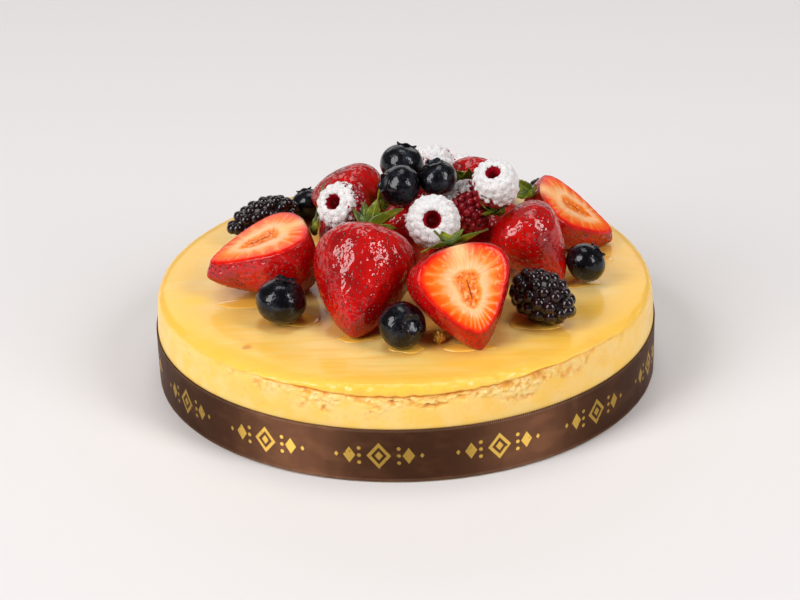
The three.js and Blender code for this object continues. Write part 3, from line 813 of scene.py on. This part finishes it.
def sugar_crust(bm, shape, into_berry, rng):
    """Lays sugar on the side that was dipped, and scatters grains of it there."""
    sugar, walled = bm.verts.layers.float["sugar"], bm.verts.layers.float["walled"]
    bm.normal_update()
    dipped = Vector(shape["dip"]).normalized()
    middle = middle_of(bm)
    resting, swollen = [], []
    for vert in bm.verts:
        inside = into_berry @ vert.co
        toward = (vert.co - middle).dot(dipped) / shape["radius"]
        patch = 0.3 * noise.noise(vert.co / 5) + 0.45 * noise.noise(vert.co / 1.7)
        lying_there = smooth(shape["bare"] - 0.1, shape["bare"] + 0.2, toward + patch)
        in_hollow = smooth(HOLLOW_SHARE + 0.14, HOLLOW_SHARE + 0.03, inside.xy.length / shape["radius"])
        lying_there *= 1 - in_hollow * smooth(-0.1, 0.1, inside.z / shape["length"])
        vert[sugar] = lying_there
        grainy = 0.5 * noise.noise(vert.co / 1.1) + 0.3 * noise.noise(vert.co / 0.5)
        swollen.append((vert, vert.normal * vert[walled] * lying_there * (CRUST_RISE + grainy)))
        if lying_there > 0.75 and not vert[walled]:
            resting.append((vert.co.copy(), vert.normal.copy()))
    for vert, move in swollen:
        vert.co += move
    for place, out in rng.sample(resting, min(len(resting), GRAIN_COUNT)):
        grain = rng.uniform(0.16, 0.36)
        sizes = Matrix.Diagonal((grain, grain * rng.uniform(0.7, 1.2), grain * 0.8, 1))
        for vert in stamp(bm, nugget, Matrix.Translation(place + out * grain * 0.3) @ sizes):
            vert[sugar] = 1.0


raspberry = Finish("raspberry_drupelets", {
    "Coat Roughness": 0.05, "Coat IOR": 1.45, "Specular IOR Level": 0.2,
    "Subsurface Radius": (1.0, 0.15, 0.15), "Subsurface Weight": 0.15, "Subsurface Scale": 0.0015,
})
dusting = (raspberry.layer("sugar") + (raspberry.noise(0.7, 3) - 0.5) * 0.8).between(0.42, 0.6)
juice = raspberry.ramp(raspberry.noise(4, 2), [(0.3, (0.20, 0.002, 0.008)), (0.7, (0.46, 0.006, 0.018))])
thin_sugar = raspberry.noise(0.8, 4, shift=5.0, roughness=0.7).between(0.54, 0.66)
sugar_colour = raspberry.mix(thin_sugar * 0.6, (0.98, 0.92, 0.91), (0.62, 0.20, 0.24))
powdery = raspberry.noise(0.6, 4, roughness=0.7) * 0.9 * dusting + dusting * 0.2
raspberry.set({
    "Base Color": raspberry.mix(dusting, juice, sugar_colour),
    "Roughness": dusting * 0.45 + 0.4,
    "Coat Weight": dusting * -0.9 + 0.9,
    "Normal": raspberry.bump(powdery),
})

for number, (node, shape) in enumerate(RASPBERRIES.items()):
    rng = random.Random(number + 70)
    length, radius = shape["length"], shape["radius"]
    top, hollow = length / 2, radius * HOLLOW_SHARE
    wall = [
        (max(0, radius * share - WALL_INSET), height * length)
        for height, share in zip(RASPBERRY_HEIGHTS, RASPBERRY_SHARES)
    ]
    wall += [
        (hollow + 0.6, top - 0.6), (hollow, top - 2),
        (hollow * 0.8, top - length * 0.36), (0, top - length * 0.42),
    ]
    bm = spun(along_profile(wall, [0.8] * (len(wall) - 1)), 90)
    bm.verts.layers.float.new("sugar")
    walled = bm.verts.layers.float.new("walled")
    for vert in bm.verts:
        vert[walled] = 1.0
    sides = outline_points(RASPBERRY_HEIGHTS, RASPBERRY_SHARES, length, radius, DRUPELET * 0.85)
    rim = [(hollow + DRUPELET * 1.05, top - 0.5)]
    drupelets(bm, sides[:-1] + rim, DRUPELET, rng)
    matrix = lay(bm, node, shape["heading"], shape["rise"])
    sugar_crust(bm, shape, matrix.inverted(), rng)
    piece_from(bm, node + "_fruit", [raspberry.material], node)

# The brambles. Longer berries of plump, nearly black drupelets, some of them a very dark wine red.
# They are made as the raspberries are, without the hollow and the sugar.
BRAMBLES = named("length radius heading rise", {
    "bramble_left": (36, 9.4, 36, 2),
    "bramble_right": (32, 11, 130, 5),
    "bramble_back": (31, 9, 120, 3),
})
BRAMBLE_ROWS = 16
BRAMBLE_DRUPELET = 5.7
dark = Finish("bramble_drupelets", {
    "Roughness": 0.3, "Specular IOR Level": 0.1, "Coat Weight": 1.0, "Coat Roughness": 0.04,
    "Coat IOR": 1.42,
})
dark.set({
    "Base Color": dark.ramp(dark.noise(5, 3), [
        (0.35, (0.005, 0.0015, 0.0025)), (0.7, (0.016, 0.002, 0.004)),
    ]),
    "Normal": dark.bump(dark.noise(0.8, 2) * 0.16, 0.6),
})

for number, (node, shape) in enumerate(BRAMBLES.items()):
    rng = random.Random(number + 90)
    turns = [math.pi * row / BRAMBLE_ROWS for row in range(BRAMBLE_ROWS + 1)]
    heights = [-0.5 * math.cos(turn) for turn in turns]
    shares = [math.sin(turn) ** 0.75 * (1 - 0.12 * math.cos(turn)) for turn in turns]
    shares[0] = shares[-1] = 0
    length, radius = shape["length"], shape["radius"]
    core = [
        (max(0, radius * share - 1.6), height * (length - 3))
        for height, share in zip(heights, shares)
    ]
    bm = spun(core, 32)
    points = outline_points(heights, shares, length - 1.5, radius, BRAMBLE_DRUPELET * 0.9)
    drupelets(bm, points, BRAMBLE_DRUPELET, rng)
    lay(bm, node, shape["heading"], shape["rise"])
    piece_from(bm, node + "_fruit", [dark.material], node)

# The blueberries. A firm blue black skin with a little grey bloom left on it under the glaze, and
# a dried crown of five points round a dimple. Each is a spun profile whose rim is pulled out into
# the five points.
BLUEBERRIES = named("radius heading rise", {
    "blueberry_left": (11.3, 40, 70),
    "blueberry_front": (10.3, -60, 25),
    "blueberry_right": (9.3, 20, 40),
    "blueberry_back_left": (8.4, 120, 60),
    "blueberry_back": (9.2, 80, 45),
    "blueberry_back_middle": (8.8, 130, 55),
    "blueberry_crown": (9.6, 200, 20),
    "blueberry_middle": (8.8, 180, 80),
    "blueberry_top": (10.1, 60, 60),
})
BLUEBERRY_FLATNESS = 0.9
CROWN_SHARE = 0.36


def blueberry_body(radius, rng):
    """A flattened ball with its crown round a dimple on top."""
    height, crown = radius * BLUEBERRY_FLATNESS, radius * CROWN_SHARE
    turns = [math.radians(-90 + 4.4 * step) for step in range(36)]
    profile = [(radius * math.cos(turn), height * math.sin(turn)) for turn in turns]
    profile[0] = (0, -height)
    profile += [
        (crown * 1.13, height * 0.94), (crown * 1.10, height * 0.97), (crown * 1.13, height * 1.01),
        (crown * 1.13, height * 1.045), (crown * 1.06, height * 1.04), (crown * 0.95, height * 0.97),
        (crown * 0.85, height * 0.91), (crown * 0.6, height * 0.87), (crown * 0.25, height * 0.85),
        (0, height * 0.86),
    ]
    bm = spun(profile, 60)
    phase = rng.uniform(0, 6)
    for vert in bm.verts:
        angle = math.atan2(vert.co.y, vert.co.x)
        points = 0.5 + 0.5 * math.cos(5 * angle + phase)
        if vert.co.z > height * 0.96 and vert.co.xy.length > crown * 0.9:
            vert.co.z -= (1 - points) * height * 0.07
            vert.co.x *= 1 + 0.18 * points
            vert.co.y *= 1 + 0.18 * points
        vert.co += vert.co.normalized() * 0.22 * noise.noise(vert.co / 6 + Vector((radius, phase, 0)))
    return bm


bloomed = Finish("blueberry_skin", {
    "Specular IOR Level": 0.06, "Coat Weight": 0.85, "Coat Roughness": 0.035, "Coat IOR": 1.38,
})
bloom = (bloomed.noise(5, 4, roughness=0.6) * 0.8 + bloomed.noise(0.9, 3) * 0.3).between(0.5, 0.72)
rubbed = bloomed.noise(2.4, 3, stretch=(1, 0.4, 1), shift=9.0).between(0.5, 0.62)
bloom_share = bloom * (rubbed * -0.6 + 1) * 0.9
bloomed.set({
    "Base Color": bloomed.mix(bloom_share, (0.002, 0.0015, 0.0025), (0.018, 0.021, 0.031)),
    "Roughness": bloom * 0.28 + 0.22,
    "Normal": bloomed.bump(bloomed.noise(1.2, 3) * 0.22 + bloomed.noise(5, 2) * 0.8, 0.7),
    "Coat Normal": bloomed.bump(
        bloomed.noise(1.8, 2, shift=4.0) * 0.25 + bloomed.noise(5, 2) * 0.6, 0.7
    ),
})

for number, (node, shape) in enumerate(BLUEBERRIES.items()):
    bm = blueberry_body(shape["radius"], random.Random(number + 20))
    lay(bm, node, shape["heading"], shape["rise"])
    piece_from(bm, node + "_fruit", [bloomed.material], node)

# The leaf caps. Small olive green leaves with a pale rib and dry brown edges, which curl up from
# the stem end of each strawberry. Each leaf is a grid bent along a curve, with the solid's own
# direction, length, width, lift and curl, and then given its thickness.
CAPS = {
    "leaves_front": ("strawberry_front", 0, [
        (95, 12, 6, 40, 10), (140, 12, 6, 50, 10), (185, 14, 7, 50, -10), (235, 18, 8, 38, -20),
        (275, 14, 7, 20, -10), (330, 10, 6, 20, 0)]),
    "leaves_half_front": ("half_strawberry_front", 0, [
        (184, 14, 5, 12, -30), (146, 9, 5, 45, 20), (91, 10, 6, 30, 20), (36, 12, 7, 30, -10),
        (1, 18, 7, 8, -5)]),
    "leaves_half_left": ("half_strawberry_left", 0, [
        (250, 22, 4, 36, 0), (211, 7, 4, 20, 20), (296, 7, 4, 25, 20), (166, 9, 5, 20, 0)]),
    "leaves_right": ("strawberry_right", 3, [
        (316, 9, 5, 42, 30), (21, 11, 6, 36, 66), (60, 10, 6, 34, -5), (120, 9, 5, 20, -15),
        (270, 10, 6, 20, 0)]),
    "leaves_half_right": ("half_strawberry_right", 0, [
        (17, 12, 6, 30, 10), (67, 9, 5, 30, 0), (222, 6, 3.5, 10, 10), (262, 6, 3.5, 10, 20)]),
    "leaves_back_left": ("strawberry_back_left", 0, [
        (205, 12, 6, 20, 0), (165, 13, 6, 15, 0), (120, 12, 6, 20, 0), (60, 11, 6, 20, 0),
        (260, 10, 5, 20, 0)]),
    "leaves_back_right": ("strawberry_back_right", 0, [
        (180, 15, 8, 70, 0), (230, 12, 7, 40, 15), (280, 11, 6, 30, 0), (130, 12, 7, 40, -10),
        (40, 11, 6, 20, 0)]),
    "leaves_half_back": ("half_strawberry_back", 0, [
        (250, 9, 5, 30, 0), (290, 9, 5, 30, 0), (200, 9, 5, 20, 0)]),
}
LEAF_THICKNESS = 0.35
LEAF_LONG = 22
LEAF_WIDE = 8
BOSS_RADIUS = 2.4
BOSS_FLATNESS = 0.6
CONTACT_GAP = 0.3


def leaf(bm, direction, length, width, lift, curl, leaf_map):
    """One leaf, from the stem's axis outwards, toothed and folded along its rib."""
    made = bmesh.ops.create_grid(bm, x_segments=LEAF_LONG, y_segments=LEAF_WIDE, size=1)
    spine, place = [], Vector((0, 0, 0))
    for step in range(LEAF_LONG + 1):
        rise = math.radians(lift + curl * step / LEAF_LONG)
        spine.append((place.copy(), rise))
        place += Vector((math.cos(rise), 0, math.sin(rise))) * length / LEAF_LONG
    for vert in made["verts"]:
        along, side = (vert.co.x + 1) / 2, vert.co.y
        centre, rise = spine[round(along * LEAF_LONG)]
        half = max(0.12, width / 2 * math.sin(math.pi * (0.12 + 0.88 * along) ** 0.8))
        half *= 1 + 0.10 * math.sin(along * 40) * smooth(0.3, 0.7, along) * abs(side)
        fold = half * (-0.35 + 0.5 * abs(side) ** 1.4)
        fold += 0.25 * math.sin(9 * along + direction + 3 * side)
        normal = Vector((-math.sin(rise), 0, math.cos(rise)))
        vert.co = turned("Z", direction) @ (centre + Vector((0, side * half, 0)) + normal * fold)
        for loop in vert.link_loops:
            loop[leaf_map].uv = (along, side * 0.5 + 0.5)


green = Finish("strawberry_leaf", {
    "Roughness": 0.5, "Specular IOR Level": 0.2, "Coat Weight": 0.5, "Coat Roughness": 0.12,
    "Coat IOR": 1.35,
    "Subsurface Weight": 0.1, "Subsurface Radius": (0.5, 1.0, 0.2), "Subsurface Scale": 0.001,
})
along, side = green.uv("leaf_map")
from_rib = (side - 0.5).math("ABSOLUTE")
veins = ((along * 9 - from_rib * 7) * (2 * math.pi)).math("SINE").between(0.75, 1.0)
rib = from_rib.between(0.06, 0.02)
leaf_colour = green.ramp(green.noise(7, 3), [
    (0.3, (0.018, 0.040, 0.002)), (0.5, (0.085, 0.13, 0.003)), (0.72, (0.34, 0.34, 0.012)),
])
leaf_colour = green.mix((veins * 0.35).math("MAXIMUM", rib * 0.7), leaf_colour, (0.36, 0.38, 0.06))
dried = (along + green.noise(2, 2, shift=3.0) * 0.4).between(1.0, 1.25)
green.set({
    "Base Color": green.mix(dried * 0.8, leaf_colour, (0.16, 0.07, 0.015)),
    "Normal": green.bump(veins * 0.12 + rib * 0.2 + green.noise(1.2) * 0.15, 0.8),
})

for node, (berry, aside, leaves) in CAPS.items():
    shape = {**STRAWBERRIES, **HALVES}[berry]
    bm = bmesh.new()
    leaf_map = bm.loops.layers.uv.new("leaf_map")
    for values in leaves:
        leaf(bm, *values, leaf_map)
    bmesh.ops.solidify(bm, geom=bm.faces[:], thickness=LEAF_THICKNESS)
    boss = Matrix.Diagonal((BOSS_RADIUS, BOSS_RADIUS, BOSS_RADIUS * BOSS_FLATNESS, 1))
    bmesh.ops.create_uvsphere(bm, u_segments=20, v_segments=12, radius=1, matrix=boss)
    above = shape["length"] / 2 + BOSS_RADIUS * BOSS_FLATNESS + CONTACT_GAP
    stem = Matrix.Translation((aside, 0, above))
    bmesh.ops.transform(bm, matrix=lying[berry] @ stem, verts=bm.verts)
    bmesh.ops.recalc_face_normals(bm, faces=bm.faces)
    piece_from(bm, node + "_cap", [green.material], node)

# The jelly drop. A small lump of amber glaze that has set on the skin in front, between the
# blueberry and the cut half. It is one ball, pushed into lumps and drawn a little taller.
JELLY_PLACE = Vector((14.1, -73.5, 0))
JELLY_RADIUS = 2.6
jelly = bmesh.new()
bmesh.ops.create_icosphere(jelly, subdivisions=4, radius=JELLY_RADIUS)
for vert in jelly.verts:
    lumps = 0.9 * noise.noise(vert.co / 1.1) + 0.4 * noise.noise(vert.co / 0.5)
    vert.co += vert.co.normalized() * lumps
    vert.co.z *= 1.15
raised = JELLY_PLACE + Vector((0, 0, cake_top + JELLY_RADIUS * 0.9))
bmesh.ops.translate(jelly, vec=raised, verts=jelly.verts)
amber = Finish("set_glaze", {
    "Roughness": 0.08, "IOR": 1.4, "Transmission Weight": 0.1,
    "Coat Weight": 1.0, "Coat Roughness": 0.03,
})
amber.set({"Base Color": amber.ramp(amber.noise(1.5, 2), [
    (0.3, (0.72, 0.28, 0.012)), (0.7, (0.95, 0.58, 0.08)),
])})
piece_from(jelly, "jelly_drop", [amber.material])

# The glaze pools. Thin amber glaze that has run off the fruit and set where it touches the cake.
# Each pool is a flat spun lens with a ragged outline, and all of them are one piece.
GLAZE_POOLS = [  # middle x and y, reach along x and along y
    (-71, -30, 13, 5), (-46, -48, 9, 7), (-20, -67, 10, 5), (0, -78, 8, 5), (27, -79, 11, 4.5),
    (56, -58, 12, 7), (80, -17, 9, 6), (88, 6, 9, 5), (-64, 42, 12, 6), (6, 84, 12, 7), (34, 66, 9, 7),
]
POOL_HEIGHT = 0.45
POOL_SINK = 0.3
pools = bmesh.new()
for number, (pool_x, pool_y, reach_x, reach_y) in enumerate(GLAZE_POOLS):
    lens = spun([
        (0, -POOL_SINK), (1, -POOL_SINK), (0.97, 0.3 * POOL_HEIGHT), (0.9, 0.62 * POOL_HEIGHT),
        (0.7, 0.85 * POOL_HEIGHT), (0.4, 0.97 * POOL_HEIGHT), (0, POOL_HEIGHT),
    ], 64)
    for vert in lens.verts:
        ragged = 1 + 0.45 * ring_noise(math.atan2(vert.co.y, vert.co.x), 1.1, number)
        vert.co.x = vert.co.x * reach_x * ragged + pool_x
        vert.co.y = vert.co.y * reach_y * ragged + pool_y
        vert.co.z += cake_top
    stamp(pools, lens, Matrix.Identity(4))
    lens.free()
pooled_glaze = Finish("pooled_glaze", {
    "Roughness": 0.3, "Coat Weight": 0.8, "Coat Roughness": 0.05,
    "Base Color": (0.93, 0.51, 0.07, 1),
})
piece_from(pools, "glaze_pools", [pooled_glaze.material])

# The floor, the light and the camera. A plain pale floor, one large soft light on each side, and
# a long lens from a little above the table, as in the photograph.
FLOOR_SIZE = 4000
floor = bmesh.new()
bmesh.ops.create_grid(floor, x_segments=1, y_segments=1, size=FLOOR_SIZE)
plain = Finish("pale_floor", {"Base Color": (0.775, 0.745, 0.738, 1), "Roughness": 0.7})
floor_piece = piece_from(floor, "floor", [plain.material])


def softbox(name, azimuth, elevation, distance, width, height, power):
    """A rectangular light that looks at the cake, with its azimuth counted from the viewer."""
    lamp = bpy.data.lights.new(name, "AREA")
    lamp.shape = "RECTANGLE"
    lamp.size, lamp.size_y, lamp.energy = width, height, power
    lamp_object = bpy.data.objects.new(name, lamp)
    bpy.context.scene.collection.objects.link(lamp_object)
    azimuth, elevation = math.radians(azimuth), math.radians(elevation)
    place = Vector((
        math.sin(azimuth) * math.cos(elevation), -math.cos(azimuth) * math.cos(elevation),
        math.sin(elevation),
    )) * distance
    target = Vector((0, 0, 0.06))
    lamp_object.location = place
    lamp_object.rotation_euler = (target - place).to_track_quat("-Z", "Y").to_euler()


softbox("key_left", -55, 35, 2.4, 1.0, 1.9, 52)
softbox("fill_right", 56, 35, 2.4, 0.7, 1.6, 34)
softbox("backdrop", 180, 26, 2.6, 3.4, 1.2, 15)
softbox("overhead", 170, 78, 2.2, 0.9, 0.9, 9)
world = bpy.data.worlds.new("studio")
world.use_nodes = True
world.node_tree.nodes["Background"].inputs["Color"].default_value = (1.0, 0.96, 0.94, 1)
world.node_tree.nodes["Background"].inputs["Strength"].default_value = 0.12
bpy.context.scene.world = world
bpy.context.scene.view_settings.view_transform = "Standard"

CAMERA_DISTANCE = 1.0
CAMERA_ELEVATION = math.radians(27.27)
CAMERA_ROLL = math.radians(-1.77)
CAMERA_TARGET = Vector((-0.0023, 0, 0.0301))
camera = bpy.data.cameras.new("camera")
camera.lens = 96.0
camera.sensor_width = 36
camera_object = bpy.data.objects.new("camera", camera)
bpy.context.scene.collection.objects.link(camera_object)
camera_object.location = (
    0, -CAMERA_DISTANCE * math.cos(CAMERA_ELEVATION), CAMERA_DISTANCE * math.sin(CAMERA_ELEVATION)
)
facing = (CAMERA_TARGET - camera_object.location).to_track_quat("-Z", "Y").to_matrix()
camera_object.rotation_euler = (facing @ Matrix.Rotation(CAMERA_ROLL, 3, "Z")).to_euler()
bpy.context.scene.camera = camera_object
